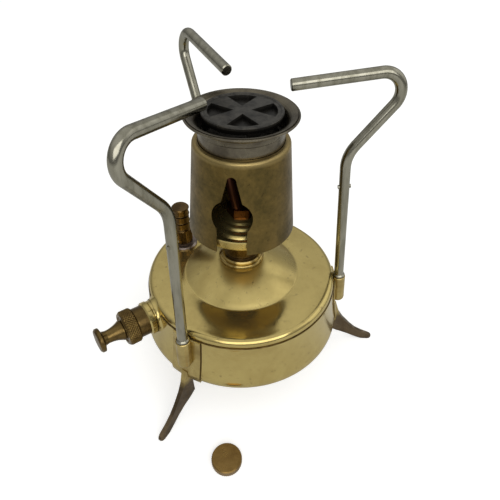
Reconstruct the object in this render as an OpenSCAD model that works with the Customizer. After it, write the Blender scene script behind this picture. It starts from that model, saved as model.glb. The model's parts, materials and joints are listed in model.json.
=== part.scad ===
// Brass pressure stove for liquid fuel: a round tank on three folded legs, a hand pump let into
// its side, a filler with an air screw, a burner under a tapering shroud with a keyhole window,
// and three bent rods that carry the pot. A loose travel cap lies on the floor in front.
// The origin is on the tank's axis at floor level, +Z is up, and the camera side is -Y.

/* [Tank] */
// Radius of the tank at its rim
rim_radius = 57.4; // [48:0.1:70]
// How much wider the foot of the tank is than its rim
foot_flare = 4.8; // [3:0.1:6]
// Height of the tank from its underside to its flat top
tank_height = 39.3; // [36:0.1:48]
// Clear height under the tank
floor_gap = 26; // [21:0.1:32]
// Thickness of the tank's brass sheet
sheet = 0.9; // [0.7:0.05:1.1]
// Depth of the lid's rim, from its flat top to the seam
lid_depth = 4.8; // [4.4:0.1:6]
// Radius of the lid's rounded shoulder
shoulder_round = 3; // [2:0.1:3.6]
// Radius of the tank's rounded foot
foot_round = 5; // [4:0.1:6]
// Radius of the lid's cone, where it meets the flat top
cone_radius = 34.8; // [30:0.1:38]
// Rise of the lid's cone
cone_rise = 10.6; // [8:0.1:13]
// How far the cone's flank bulges past a straight line
cone_bulge = 0.9; // [0:0.1:1.6]

/* [Riser and filler] */
// Radius of the riser boss at its bead
riser_radius = 13.5; // [12.5:0.1:16]
// Height of the riser boss above the cone
riser_height = 5.1; // [4:0.1:7]
// Radius of the burner's thread, where it enters the riser boss
burner_thread = 8; // [6.5:0.1:9]
// Outer radius of the feed tube inside the tank
feed_radius = 2.6; // [2.1:0.1:3]
// Distance of the filler from the tank's axis
filler_reach = 45.2; // [43.5:0.1:45.5]
// Direction of the filler, seen from above
filler_azimuth = 147; // [140:1:160]
// Radius of the filler boss
filler_radius = 8.75; // [8.2:0.05:10]
// Radius of the filler cap's thread
filler_thread = 4.8; // [4.2:0.1:5.4]
// Radius of the knurled filler cap
cap_radius = 6; // [5.8:0.1:7.2]
// Height of the knurled filler cap
cap_height = 10.6; // [8:0.1:13]
// Height of the air screw's turned knob
air_knob_height = 16; // [13:0.1:20]
// Radius of the air screw's turned knob
air_knob_radius = 5.5; // [4.5:0.1:6.5]

/* [Pump] */
// Direction of the pump, seen from above
pump_azimuth = -145.2; // [-150:0.1:-140]
// Slope of the pump's axis above the horizontal
pump_slope = 2.4; // [0:0.1:4]
// Sideways distance between the pump's axis and the tank's axis
pump_offset = 7.4; // [7:0.1:9]
// Depth of the pump's axis below the tank's flat top, beside the tank's axis
pump_depth = 14.2; // [12:0.1:17]
// Bore radius of the pump barrel
barrel_bore = 7.2; // [6:0.1:7.4]
// Wall of the pump barrel inside the tank
barrel_wall = 0.8; // [0.6:0.05:1]
// Radius of the pump barrel's threaded neck
neck_radius = 8.9; // [8.7:0.1:9.6]
// Radius of the soldered collar round the neck
collar_radius = 10; // [9.4:0.1:11]
// Radius of the knurled pump cap
pump_cap_radius = 10.5; // [10:0.1:12]
// Length of the knurled pump cap
pump_cap_length = 7.4; // [6:0.1:9]
// Radius of the pump rod
pump_rod_radius = 2; // [1.6:0.1:2.4]
// Radius of the pump knob's disc
knob_radius = 7.1; // [5.5:0.1:8]
// Length of the pump knob
knob_length = 15.6; // [13:0.1:19]

/* [Burner] */
// Height of the burner's stem, from the riser boss to the spirit cup
stem_height = 21.3; // [18:0.1:26]
// Radius of the burner's stem
stem_radius = 9.9; // [9.2:0.1:11]
// Gap between the spirit cup's rim and the shroud round it
cup_gap = 0.45; // [0.3:0.05:3]
// Depth of the spirit cup
spirit_depth = 6.3; // [5:0.1:7.5]
// Outer radius of the vaporiser tubes
tube_radius = 2.8; // [2.4:0.1:3]
// Thickness of the pressed sheet of shroud, cup and flame ring
thin_sheet = 0.8; // [0.6:0.05:1]

/* [Shroud and flame] */
// Height of the shroud
shroud_height = 52; // [50:0.1:60]
// How much wider the shroud's foot is than its top
shroud_taper = 4.55; // [3:0.05:7]
// Radius of the window's round part
window_radius = 10.5; // [9:0.1:11.5]
// Height of the window's round part above the shroud's foot
window_height = 21.5; // [20:0.1:24]
// Width of the slot below the window
slot_width = 16; // [13:0.1:18]
// Height of the window's narrow top above the shroud's foot
window_top = 44.7; // [40:0.1:46]
// Direction of the window, seen from above
window_azimuth = -101.2; // [-110:0.1:-90]
// Radius of the flame ring's neck
ring_radius = 21.5; // [17.9:0.1:25.8]
// How far the flame ring's lip flares out past its neck
ring_flare_width = 6.6; // [4.5:0.1:8]
// Height of the flame ring
ring_height = 14; // [12:0.1:16.6]
// Gap between the flame spreader's edge and the flame ring's neck
spreader_gap = 1.7; // [1.3:0.1:2.2]
// Sideways shift of the loosely resting spreader
spreader_shift = 0.5; // [0:0.1:0.6]

/* [Pot supports and legs] */
// Radius of the pot support rods
rod_radius = 2.87; // [2.4:0.01:3.44]
// Directions of the three brackets, seen from above
bracket_azimuths = [-122.1, -2.9, 118.8];
// Inward lean of the sockets
socket_lean = 5.1; // [3:0.1:6]
// Sideways tilt of each socket as it was soldered on
socket_tilts = [-2.9, 4, -2.3];
// Turn of each rod in its socket
rod_swivels = [-0.7, 6.3, -0.6];
// Depth of the rod in its socket
socket_depth = 13.2; // [11:0.1:16]
// Height of the rods' tips above the flame ring's lip
pot_gap = 8.2; // [8:0.1:20]
// Outward reach of the rod's upper bend
rod_outward = 37.2; // [30:0.1:42]
// Rise of the rod from its lower to its upper bend
rod_rise = 41.2; // [34:0.1:48]
// Inward reach of the rod's tip past its upright part
rod_inward = 28.1; // [24:0.1:29]
// Drop of the rod from its upper bend to its tip
rod_drop = 2.4; // [0:0.1:4]
// Bend radius at the top of the rod
upper_bend = 9.5; // [8:0.1:12]
// Bend radius at the foot of the slope
lower_bend = 18; // [10:0.1:20]
// Width of the bracket plate
plate_width = 19.3; // [16:0.1:21]
// Thickness of the bracket plate and of the folded leg
plate_sheet = 1.1; // [0.9:0.05:1.3]
// Reach of the legs from the tank's axis
leg_reach = 92.6; // [77:0.1:110]
// Width of the folded leg along its lower edges
leg_width = 3.6; // [3.2:0.1:6]
// Width of the leg at its tip
leg_tip_width = 4.2; // [3.6:0.1:6]

/* [Travel cap] */
// Radius of the travel cap
travel_radius = 8.7; // [8:0.1:10.4]
// Height of the travel cap
travel_height = 4.6; // [4:0.1:6]
// Place of the travel cap on the floor
travel_place = [-9.4, -90.9];

/* [Fits] */
// Radial clearance of threads and running fits
running_fit = 0.06; // [0.04:0.01:0.08]
// Gap between pieces that rest on each other or lift apart
rest_gap = 0.12; // [0.08:0.01:0.2]
// Gap that solder fills
solder_gap = 0.05; // [0.03:0.01:0.08]

/* [Hidden] */
$fn = 96;

polished_brass = "#c9a44c";
aged_brass = "#7d5f2c";
shroud_brass = "#7c6a3c";
bronze = "#4e4232";
plated_steel = "#9b9a86";
tinned = "#8d8084";
burnt_iron = "#2b2c30";
dark_steel = "#5c5a55";
leather = "#4b3524";
rubber = "#2c2a28";

tank_top = floor_gap + tank_height;
seam = tank_top - lid_depth;
cone_top = tank_top + cone_rise;

// ---------- helpers ----------

// Points of an arc in a profile, from angle a to angle b
function arc(x, y, r, a, b, steps = 8) =
    [for (i = [0:steps]) [x + r * cos(a + (b - a) * i / steps), y + r * sin(a + (b - a) * i / steps)]];

// Outline of a straight-knurled edge: a circle with sharp ridges
function knurl(r, depth, ridges) =
    [for (i = [0:2 * ridges - 1]) let (a = 180 * i / ridges, q = r - depth * (i % 2)) [q * cos(a), q * sin(a)]];

// A knurled disc or sleeve: a chamfered barrel, a little wider than the ridges, trims a ridged bar
module knurled(r, depth, ridges, bottom, top, chamfer_bottom, chamfer_top) {
    spare = 0.3;
    intersection() {
        rotate_extrude()
            polygon([
                [0, bottom], [r - chamfer_bottom, bottom], [r + spare, bottom + chamfer_bottom + spare],
                [r + spare, top - chamfer_top - spare], [r - chamfer_top, top], [0, top]
            ]);
        translate([0, 0, bottom - 1]) linear_extrude(top - bottom + 2) polygon(knurl(r, depth, ridges));
    }
}

// ---------- tank ----------

flare_top_slope = 0.05;
seam_step = 0.6;
skirt_length = 5;
wall_top_r = rim_radius + seam_step;
flare_foot = floor_gap + foot_round + 2;
flare_length = seam - flare_foot;
flare_curve = (foot_flare - seam_step - flare_top_slope * flare_length) / pow(flare_length, 2);
wall_steps = 6;
bottom_dish = 2.5;
bottom_ring = 8;

// Outer radius of the tank's wall at a height
function wall_r(z) = wall_top_r + flare_top_slope * (seam - z) + flare_curve * pow(seam - z, 2);

// Stations of the wall from the seam down, moved out by a distance
function wall_line(out) =
    [for (i = [0:wall_steps]) let (z = seam - flare_length * i / wall_steps) [wall_r(z) + out, z]];

foot_r = wall_r(flare_foot);

// Outline of the lower pressing's outside (inset 0) or of its inside (inset by the sheet)
function base_outline(inset) = concat(
    wall_line(-inset),
    arc(foot_r - foot_round, floor_gap + foot_round, foot_round - inset, 0, -90, 6),
    [
        [foot_r - bottom_ring, floor_gap + inset],
        [foot_r - bottom_ring - 3, floor_gap + bottom_dish + inset],
        [0, floor_gap + bottom_dish + inset]
    ]
);

// Outline of the lid's outside; the cone's plateau carries the riser boss
plateau = riser_radius + 0.6;
cone_steps = 7;
function cone_flank(t, inset) = [
    plateau + (cone_radius - plateau) * t - inset * 0.25,
    cone_top - cone_rise * t + 4 * cone_bulge * t * (1 - t) - inset
];
function lid_outline(inset) = concat(
    [[0, cone_top - inset]],
    [for (i = [0:cone_steps]) cone_flank(i / cone_steps, inset)],
    arc(rim_radius - shoulder_round, tank_top - shoulder_round, shoulder_round - inset, 90, 0, 6),
    [[rim_radius - inset, seam]]
);

// The whole tank as one solid, grown by a gap: it trims what is soldered to it
module tank_envelope(gap) {
    rotate_extrude()
        polygon(concat(
            [[0, tank_top + gap], [rim_radius - shoulder_round, tank_top + gap]],
            arc(rim_radius - shoulder_round, tank_top - shoulder_round, shoulder_round + gap, 90, 0, 6),
            wall_line(gap),
            arc(foot_r - foot_round, floor_gap + foot_round, foot_round + gap, 0, -90, 6),
            [[0, floor_gap - gap]]
        ));
}

riser_hole = burner_thread + 2.2;
filler_hole = filler_thread + 1.6;
barrel_outer = barrel_bore + barrel_wall;

module on_filler_axis() {
    rotate([0, 0, filler_azimuth]) translate([filler_reach, 0, tank_top]) children();
}

// The pump's own frame: its Z runs outwards along the barrel, from beside the tank's axis
module on_pump_axis() {
    rotate([0, 0, pump_azimuth])
        translate([0, -pump_offset, tank_top - pump_depth])
            rotate([0, 90 - pump_slope, 0])
                children();
}

module pump_hole() {
    on_pump_axis() translate([0, 0, 30]) cylinder(r = barrel_outer + solder_gap, h = 50);
}

module tank_lid() {
    skirt_r = wall_top_r - sheet - solder_gap;
    color(polished_brass)
        difference() {
            rotate_extrude()
                difference() {
                    polygon(concat(lid_outline(0), [
                        [skirt_r, seam],
                        [skirt_r, seam - skirt_length],
                        [0, seam - skirt_length]
                    ]));
                    polygon(concat(lid_outline(sheet), [
                        [skirt_r - sheet, seam - 0.6],
                        [skirt_r - sheet, seam - skirt_length - 1],
                        [0, seam - skirt_length - 1]
                    ]));
                }
            cylinder(r = riser_hole + solder_gap, h = cone_top + 1);
            on_filler_axis() translate([0, 0, -5]) cylinder(r = filler_hole + solder_gap, h = 10);
            pump_hole();
        }
}

module tank_base() {
    color(polished_brass)
        difference() {
            rotate_extrude()
                difference() {
                    polygon(concat(base_outline(0), [[0, seam]]));
                    polygon(concat([[0, seam + 1], [wall_top_r - sheet, seam + 1]], base_outline(sheet)));
                }
            pump_hole();
        }
}

// ---------- riser and feed ----------

riser_top = cone_top + riser_height;
riser_sink = 4;
riser_web = 2;
riser_floor = cone_top - riser_sink;

module riser_boss() {
    bead_z = cone_top + riser_height * 0.35;
    color(polished_brass)
        difference() {
            rotate_extrude()
                polygon(concat(
                    [[0, riser_floor - riser_web], [riser_hole, riser_floor - riser_web]],
                    [[riser_hole, cone_top + solder_gap], [riser_radius - 0.6, cone_top + solder_gap]],
                    arc(riser_radius - 1.6, bead_z, 1.6, -50, 70, 6),
                    [[burner_thread + 4.3, riser_top - 0.8], [burner_thread + 3.6, riser_top], [0, riser_top]]
                ));
            translate([0, 0, riser_floor]) cylinder(r = burner_thread + running_fit, h = riser_height + riser_sink + 1);
            translate([0, 0, riser_floor - riser_web - 1])
                cylinder(r = feed_radius + solder_gap, h = riser_web + 2);
        }
}

module feed_tube() {
    feed_wall = 0.6;
    feed_foot = floor_gap + bottom_dish + sheet + 2.5;
    feed_top = riser_floor;
    color(aged_brass)
        difference() {
            translate([0, 0, feed_foot]) cylinder(r = feed_radius, h = feed_top - feed_foot);
            translate([0, 0, feed_foot - 1]) cylinder(r = feed_radius - feed_wall, h = feed_top - feed_foot + 2);
            // slanted mouth, so that the foot can't seal against the tank floor
            translate([0, 0, feed_foot]) rotate([0, 30, 0]) translate([0, 0, -5]) cube([20, 20, 10], center = true);
        }
}

// ---------- filler ----------

filler_flange = 1.9;
filler_neck = 5;
washer_thick = 0.9;
cap_foot = filler_flange + washer_thick;
cap_top = cap_foot + cap_height;
air_thread = 2.4;

module filler_boss() {
    color(tinned)
        on_filler_axis()
            difference() {
                rotate_extrude()
                    polygon([
                        [0, -filler_neck], [filler_hole, -filler_neck], [filler_hole, solder_gap],
                        [filler_radius, solder_gap], [filler_radius, filler_flange - 0.8],
                        [filler_radius - 0.8, filler_flange], [0, filler_flange]
                    ]);
                translate([0, 0, -filler_neck - 1])
                    cylinder(r = filler_thread + running_fit, h = filler_neck + filler_flange + 2);
            }
}

module filler_washer() {
    color(leather)
        on_filler_axis()
            translate([0, 0, filler_flange])
                difference() {
                    cylinder(r = cap_radius - 0.2, h = washer_thick);
                    translate([0, 0, -1]) cylinder(r = filler_thread + running_fit, h = washer_thick + 2);
                }
}

module filler_cap() {
    knurl_depth = 0.45;
    chamfer = 0.7;
    color(aged_brass)
        on_filler_axis()
            difference() {
                union() {
                    knurled(cap_radius, knurl_depth, 30, cap_foot, cap_top, chamfer, chamfer);
                    translate([0, 0, -filler_neck + 1]) cylinder(r = filler_thread, h = cap_foot + filler_neck);
                }
                translate([0, 0, cap_foot + 1]) cylinder(r = air_thread + running_fit, h = cap_height + 1);
                // vent drilling from the air screw's seat down through the spigot
                translate([0, 0, -filler_neck]) cylinder(r = 0.8, h = cap_foot + filler_neck + 2);
            }
}

module air_screw() {
    knob_foot = cap_top + rest_gap;
    groove = 0.8;
    ridge = 0.35;
    bands = 3;
    band = air_knob_height / bands;
    shoulder_r = air_knob_radius - 0.5;
    color(aged_brass)
        on_filler_axis()
            rotate_extrude()
                polygon(concat(
                    [[0, cap_foot + 2.6], [air_thread - 1.4, cap_foot + 2.6], [air_thread, cap_foot + 4.2]],
                    [[air_thread, knob_foot]],
                    // each band starts with a fine proud ridge and ends in a groove
                    [for (i = [0:bands - 1]) let (z = knob_foot + band * i)
                        each [
                            [shoulder_r, z], [air_knob_radius - 0.1, z + ridge], [shoulder_r, z + 2 * ridge],
                            [shoulder_r, z + band - groove], [i < bands - 1 ? shoulder_r - 0.7 : air_knob_radius, z + band - 0.6]
                        ]],
                    [[air_knob_radius - 0.5, knob_foot + air_knob_height], [0, knob_foot + air_knob_height]]
                ));
}

// ---------- pump ----------

// Distances along the pump's axis, from beside the tank's axis
barrel_inner_end = 9;
end_plate = 1.6;
neck_length = 15.1;
collar_length = 4;
wall_station = sqrt(pow(wall_r(tank_top - pump_depth), 2) - pow(pump_offset, 2));
neck_foot = wall_station + 3.2;
neck_end = neck_foot + neck_length;
pump_cap_face = neck_end + 1.5;
pump_cap_foot = pump_cap_face - pump_cap_length;
valve_spigot = 2.6;
valve_radius = 3.7;
valve_length = 11.5;

module pump_boss() {
    collar_round = 0.8;
    color(polished_brass)
        difference() {
            on_pump_axis()
                difference() {
                    rotate_extrude()
                        polygon([
                            [0, neck_foot - 9], [collar_radius - 0.5, neck_foot - 9], [collar_radius - 0.5, neck_foot - 1],
                            [collar_radius, neck_foot - 1 + collar_round], [collar_radius, neck_foot + collar_length - 1 - collar_round],
                            [collar_radius - collar_round, neck_foot + collar_length - 1], [0, neck_foot + collar_length - 1]
                        ]);
                    translate([0, 0, neck_foot - 10]) cylinder(r = barrel_outer + solder_gap, h = 11);
                    translate([0, 0, neck_foot]) cylinder(r = neck_radius + solder_gap, h = 20);
                }
            tank_envelope(solder_gap);
        }
}

module pump_barrel() {
    color(aged_brass)
        on_pump_axis()
            difference() {
                union() {
                    translate([0, 0, barrel_inner_end])
                        cylinder(r = barrel_outer, h = neck_foot + 1 - barrel_inner_end);
                    translate([0, 0, neck_foot + solder_gap])
                        cylinder(r = neck_radius, h = neck_length - solder_gap);
                }
                translate([0, 0, barrel_inner_end + end_plate])
                    cylinder(r = barrel_bore, h = neck_end);
                translate([0, 0, barrel_inner_end - 1]) cylinder(r = valve_spigot + solder_gap, h = end_plate + 2);
            }
}

valve_seat = barrel_inner_end - 1.4;
chamber_radius = 2.7;
pellet_radius = 2.3;
pellet_length = 2.2;
disc_thick = 0.6;
spring_coils = 4;
wire_radius = 0.2;
spring_radius = 1.75;
valve_floor = barrel_inner_end - valve_length;
spring_foot = valve_floor + 1.2;
spring_head = valve_seat - disc_thick - pellet_length;

module valve_body() {
    color(aged_brass)
        on_pump_axis()
            difference() {
                union() {
                    translate([0, 0, valve_floor]) cylinder(r = valve_radius, h = valve_length - solder_gap);
                    translate([0, 0, barrel_inner_end - 1]) cylinder(r = valve_spigot, h = end_plate + 1);
                }
                translate([0, 0, spring_foot]) cylinder(r = chamber_radius, h = valve_seat - spring_foot);
                translate([0, 0, valve_floor - 1]) cylinder(r = 0.8, h = valve_length + 5);
            }
}

module valve_pellet() {
    color(aged_brass)
        on_pump_axis()
            translate([0, 0, spring_head])
                difference() {
                    cylinder(r = pellet_radius, h = pellet_length - 0.05);
                    translate([0, 0, pellet_length - 0.5]) cylinder(r = pellet_radius - 0.5, h = 1);
                }
}

module valve_disc() {
    color(rubber)
        on_pump_axis()
            translate([0, 0, spring_head + pellet_length - 0.5])
                cylinder(r = pellet_radius - 0.55, h = disc_thick + 0.4);
}

// A round wire wound up a cylinder: rings of points set square to the helix
module coil_spring(radius, wire, length, coils, sides = 6, per_turn = 10) {
    rise = length - 2 * wire;
    rings = coils * per_turn;
    lean = atan(rise / (coils * 2 * PI * radius));
    points = [
        for (i = [0:rings]) let (a = 360 * i / per_turn, z = wire + rise * i / rings)
            for (j = [0:sides - 1]) let (b = 360 * j / sides, out = radius + wire * cos(b), up = wire * sin(b))
                [
                    out * cos(a) + up * sin(lean) * sin(a),
                    out * sin(a) - up * sin(lean) * cos(a),
                    z + up * cos(lean)
                ]
    ];
    faces = concat(
        [[for (j = [0:sides - 1]) j]],
        [for (i = [0:rings - 1]) for (j = [0:sides - 1]) let (k = (j + 1) % sides)
            each [
                [i * sides + j, (i + 1) * sides + j, (i + 1) * sides + k],
                [i * sides + j, (i + 1) * sides + k, i * sides + k]
            ]],
        [[for (j = [sides - 1:-1:0]) rings * sides + j]]
    );
    polyhedron(points = points, faces = faces, convexity = 10);
}

module valve_spring() {
    slack = 0.05;
    color(dark_steel)
        on_pump_axis()
            translate([0, 0, spring_foot + slack])
                coil_spring(spring_radius, wire_radius, spring_head - spring_foot - 2 * slack, spring_coils);
}

module pump_cap() {
    knurl_depth = 0.45;
    chamfer = 1.3;
    color(aged_brass)
        on_pump_axis()
            difference() {
                knurled(pump_cap_radius, knurl_depth, 44, pump_cap_foot, pump_cap_face, 0.8, chamfer);
                translate([0, 0, pump_cap_foot - 1])
                    cylinder(r = neck_radius + running_fit, h = neck_end + rest_gap - pump_cap_foot + 1);
                cylinder(r = pump_rod_radius + running_fit, h = pump_cap_face + 1);
            }
}

knob_foot = pump_cap_face + rest_gap;
knob_face = knob_foot + knob_length;
rod_socket = 8;

// Turned knob: a flared foot on the cap, a waist, and a domed disc with rounded edges
module pump_knob() {
    flare_r = knob_radius * 0.84;
    waist_r = knob_radius * 0.53;
    disc_thick = 3.4;
    waist_z = knob_foot + knob_length * 0.62;
    color(aged_brass)
        on_pump_axis()
            difference() {
                rotate_extrude()
                    polygon(concat(
                        [[0, knob_foot], [flare_r - 0.4, knob_foot], [flare_r, knob_foot + 0.5]],
                        [for (t = [0:0.125:1])
                            [waist_r + (flare_r - waist_r) * pow(1 - t, 2.2), knob_foot + 1.2 + (waist_z - knob_foot - 1.2) * t]],
                        [[waist_r + 0.5, knob_face - disc_thick - 0.5], [knob_radius - 0.9, knob_face - disc_thick + 0.2]],
                        arc(knob_radius - 0.7, knob_face - disc_thick + 0.9, 0.7, -90, 0, 3),
                        [[knob_radius, knob_face - 1.2], [knob_radius - 0.9, knob_face - 0.35]],
                        [[knob_radius * 0.5, knob_face], [0, knob_face]]
                    ));
                translate([0, 0, knob_foot - 1]) cylinder(r = pump_rod_radius + solder_gap, h = rod_socket + 1);
            }
}

rod_end = barrel_inner_end + end_plate + 0.9;
nut_length = 1.8;
leather_seat = rod_end + 0.5 + nut_length;
leather_length = 4.2;
leather_thick = 1.2;
washer_seat = leather_seat + leather_length;

module pump_rod() {
    color(dark_steel)
        on_pump_axis()
            translate([0, 0, rod_end]) cylinder(r = pump_rod_radius, h = knob_foot + rod_socket - 0.2 - rod_end);
}

// Cup leather: its skirt opens towards the valve and seals against the barrel
module piston_leather() {
    color(leather)
        on_pump_axis()
            translate([0, 0, leather_seat])
                difference() {
                    rotate_extrude()
                        polygon([
                            [pump_rod_radius + solder_gap, leather_length], [pump_rod_radius + solder_gap, leather_length - leather_thick],
                            [barrel_bore - 2.4, leather_length - leather_thick], [barrel_bore - 1.4, leather_length - 2.2],
                            [barrel_bore - 1.1, -1], [barrel_bore - running_fit, -1], [barrel_bore - running_fit, leather_length - 1],
                            [barrel_bore - 1.1, leather_length]
                        ]);
                }
}

module piston_washer() {
    color(aged_brass)
        on_pump_axis()
            translate([0, 0, washer_seat + 0.05])
                difference() {
                    cylinder(r = barrel_bore - 0.6, h = 1.2);
                    translate([0, 0, -1]) cylinder(r = pump_rod_radius + solder_gap, h = 4);
                }
}

// Hexagonal nut and clamping washer in one, inside the leather's cup
module piston_nut() {
    clamp = leather_length - leather_thick - 0.05;
    color(aged_brass)
        on_pump_axis()
            translate([0, 0, leather_seat])
                difference() {
                    union() {
                        cylinder(r = pump_rod_radius + 1.9, h = nut_length, $fn = 6);
                        translate([0, 0, nut_length]) cylinder(r = barrel_bore - 2.6, h = clamp - nut_length);
                    }
                    translate([0, 0, -1]) cylinder(r = pump_rod_radius + solder_gap, h = clamp + 2);
                }
}

// ---------- burner ----------

stem_washer = 1.2;
stem_foot = riser_top + stem_washer;
cup_seat = stem_foot + stem_height;
spigot_radius = 5.5;
spigot_height = 7;
block_flange_r = 11;
block_flange = 1.9;
block_foot = cup_seat + thin_sheet;
block_height = 9;
block_top = block_foot + block_flange + block_height;
block_radius = 8.2;

module burner_washer() {
    color(tinned)
        translate([0, 0, riser_top])
            difference() {
                cylinder(r = burner_thread + 2.1, h = stem_washer);
                translate([0, 0, -1]) cylinder(r = burner_thread + running_fit, h = stem_washer + 2);
            }
}

module burner_stem() {
    thread_length = riser_height + riser_sink - 0.8;
    flat_height = 8;
    passage = 2;
    color(aged_brass)
        difference() {
            union() {
                translate([0, 0, riser_top - thread_length]) cylinder(r = burner_thread, h = thread_length + stem_washer + 0.5);
                rotate_extrude()
                    polygon([
                        [0, stem_foot], [stem_radius - 0.2, stem_foot], [stem_radius + 0.2, stem_foot + 0.4],
                        [stem_radius + 0.2, stem_foot + 0.9], [stem_radius, stem_foot + 1.3],
                        [stem_radius, cup_seat - 3], [stem_radius + 0.8, cup_seat - 1.5],
                        [stem_radius + 0.8, cup_seat], [0, cup_seat]
                    ]);
                translate([0, 0, cup_seat - 1]) cylinder(r = spigot_radius, h = spigot_height + 1);
            }
            // flats for the spanner
            for (side = [0, 180])
                rotate([0, 0, side])
                    translate([stem_radius - 0.9, -stem_radius, stem_foot + 4])
                        cube([3, 2 * stem_radius, flat_height]);
            translate([0, 0, riser_top - thread_length - 1]) cylinder(r = passage, h = thread_length + stem_height + spigot_height + 5);
        }
}

module spirit_cup() {
    r = spirit_radius;
    t = thin_sheet;
    round_r = 1.6;
    color(polished_brass)
        translate([0, 0, cup_seat])
            rotate_extrude()
                polygon(concat(
                    [[spigot_radius + solder_gap, 0], [r - 0.5 - round_r, 0]],
                    arc(r - 0.5 - round_r, round_r, round_r, -90, 0, 5),
                    [[r, spirit_depth - 0.7], [r, spirit_depth - 0.2], [r - 0.3, spirit_depth]],
                    [[r - t - 0.2, spirit_depth], [r - 0.5 - t, spirit_depth - 0.8]],
                    arc(r - 0.5 - round_r, round_r, round_r - t, 0, -90, 5),
                    [[spigot_radius + solder_gap, t]]
                ));
}

module burner_block() {
    color(aged_brass)
        difference() {
            union() {
                translate([0, 0, block_foot + 0.02]) cylinder(r = block_flange_r, h = block_flange);
                translate([0, 0, block_foot + 1]) cylinder(r = block_radius, h = block_top - block_foot - 1, $fn = 6);
            }
            translate([0, 0, block_foot - 1]) cylinder(r = spigot_radius + solder_gap, h = spigot_height + 0.6);
            // the passage splits to the two rising tubes
            for (side = [0, 180])
                rotate([0, 0, tube_azimuth + side])
                    slant_tube([tube_foot_reach, block_top - 1], [tube_top_reach, head_foot], tube_bore);
            for (side = [0, 180])
                rotate([0, 0, tube_azimuth + side])
                    translate([0, 0, block_foot + spigot_height - 1.5]) slant_tube([0, 0], [tube_foot_reach, 4], tube_bore);
        }
}

tube_bore = 1.5;
return_bore = 1;
tube_foot_reach = 4.2;
tube_azimuth = -125;
shroud_foot_z = cup_seat - 0.5;
shroud_crown = shroud_foot_z + shroud_height;
crown_round = 2.4;
crown_land = 0.55;
crown_hole = ring_radius + 0.3;
flange_top = shroud_crown - thin_sheet - rest_gap;
flange_r = crown_hole + 0.6;
ring_sheet = 0.7;
collar_r = ring_radius - ring_sheet - 0.2;
collar_top = flange_top + 3;
head_foot = flange_top - 9;
tube_top_reach = collar_r - 7;
ring_foot = flange_top + rest_gap;
ring_top = ring_foot + ring_height;
lip_radius = ring_radius + ring_flare_width;
spreader_radius = ring_radius - spreader_gap;
shroud_top = crown_hole + crown_land + crown_round;
shroud_foot = shroud_top + shroud_taper;
spirit_radius = shroud_foot - thin_sheet - shroud_taper * (spirit_depth + 0.5) / (shroud_height - crown_round) - cup_gap;
holder_radius = 3.5;
holder_height = 6;
// the holder sits high enough for the leaning tubes to pass it
tube_rise = (head_foot + 3 - block_top) / (tube_top_reach - tube_foot_reach);
holder_z = block_top - 1 + (holder_radius + 0.3 + 1.05 * tube_radius - tube_foot_reach) * tube_rise;

// A straight tube in the X-Z plane between two points given as [reach, height]
module slant_tube(from, to, r) {
    length = norm(to - from);
    lean = atan2(to[0] - from[0], to[1] - from[1]);
    translate([from[0], 0, from[1]]) rotate([0, lean, 0]) cylinder(r = r, h = length);
}

// Two tubes rise from the block and lean out to the head
module rising_tubes() {
    color(burnt_iron)
        for (side = [0, 180])
            rotate([0, 0, tube_azimuth + side])
                difference() {
                    slant_tube([tube_foot_reach, block_top - 1], [tube_top_reach, head_foot + 2], tube_radius);
                    slant_tube([tube_foot_reach, block_top - 1], [tube_top_reach, head_foot + 2], tube_bore);
                    translate([-20, -20, block_top + solder_gap - 20]) cube([40, 40, 20]);
                    translate([-20, -20, head_foot - solder_gap]) cube([40, 40, 20]);
                }
}

// Two thinner tubes bring the vapour back down to the nipple holder
module return_tubes() {
    return_radius = tube_radius - 0.6;
    color(burnt_iron)
        for (side = [0, 180])
            rotate([0, 0, tube_azimuth + 90 + side])
                difference() {
                    slant_tube([1, holder_z + 1], [tube_top_reach, head_foot + 2], return_radius);
                    slant_tube([1, holder_z + 1], [tube_top_reach, head_foot + 2], return_bore);
                    translate([0, 0, holder_z - 5]) cylinder(r = holder_radius + solder_gap, h = holder_height + 10);
                    translate([-20, -20, head_foot - solder_gap]) cube([40, 40, 20]);
                }
}

nipple_radius = 1.85;
nipple_depth = 3.6;

module nipple_holder() {
    color(aged_brass)
        difference() {
            translate([0, 0, holder_z])
                difference() {
                    cylinder(r = holder_radius, h = holder_height);
                    translate([0, 0, holder_height - nipple_depth - 0.6])
                        cylinder(r = nipple_radius + solder_gap, h = holder_height);
                }
            // vapour passages in from the two return tubes
            for (side = [0, 180])
                rotate([0, 0, tube_azimuth + 90 + side]) slant_tube([1, holder_z + 1], [tube_top_reach, head_foot], return_bore);
        }
}

module jet_nipple() {
    seat = nipple_depth;
    color(polished_brass)
        translate([0, 0, holder_z + holder_height - nipple_depth])
            difference() {
                union() {
                    cylinder(r = nipple_radius, h = seat + 1);
                    translate([0, 0, seat + 0.02]) cylinder(r = nipple_radius + 0.75, h = 1.4, $fn = 6);
                    translate([0, 0, seat + 1.2]) cylinder(r1 = nipple_radius - 0.15, r2 = 0.8, h = 1.8);
                }
                translate([0, 0, -1]) cylinder(r = 0.8, h = seat + 2.2);
                translate([0, 0, -1]) cylinder(r = 0.2, h = seat + 6);
            }
}

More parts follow.
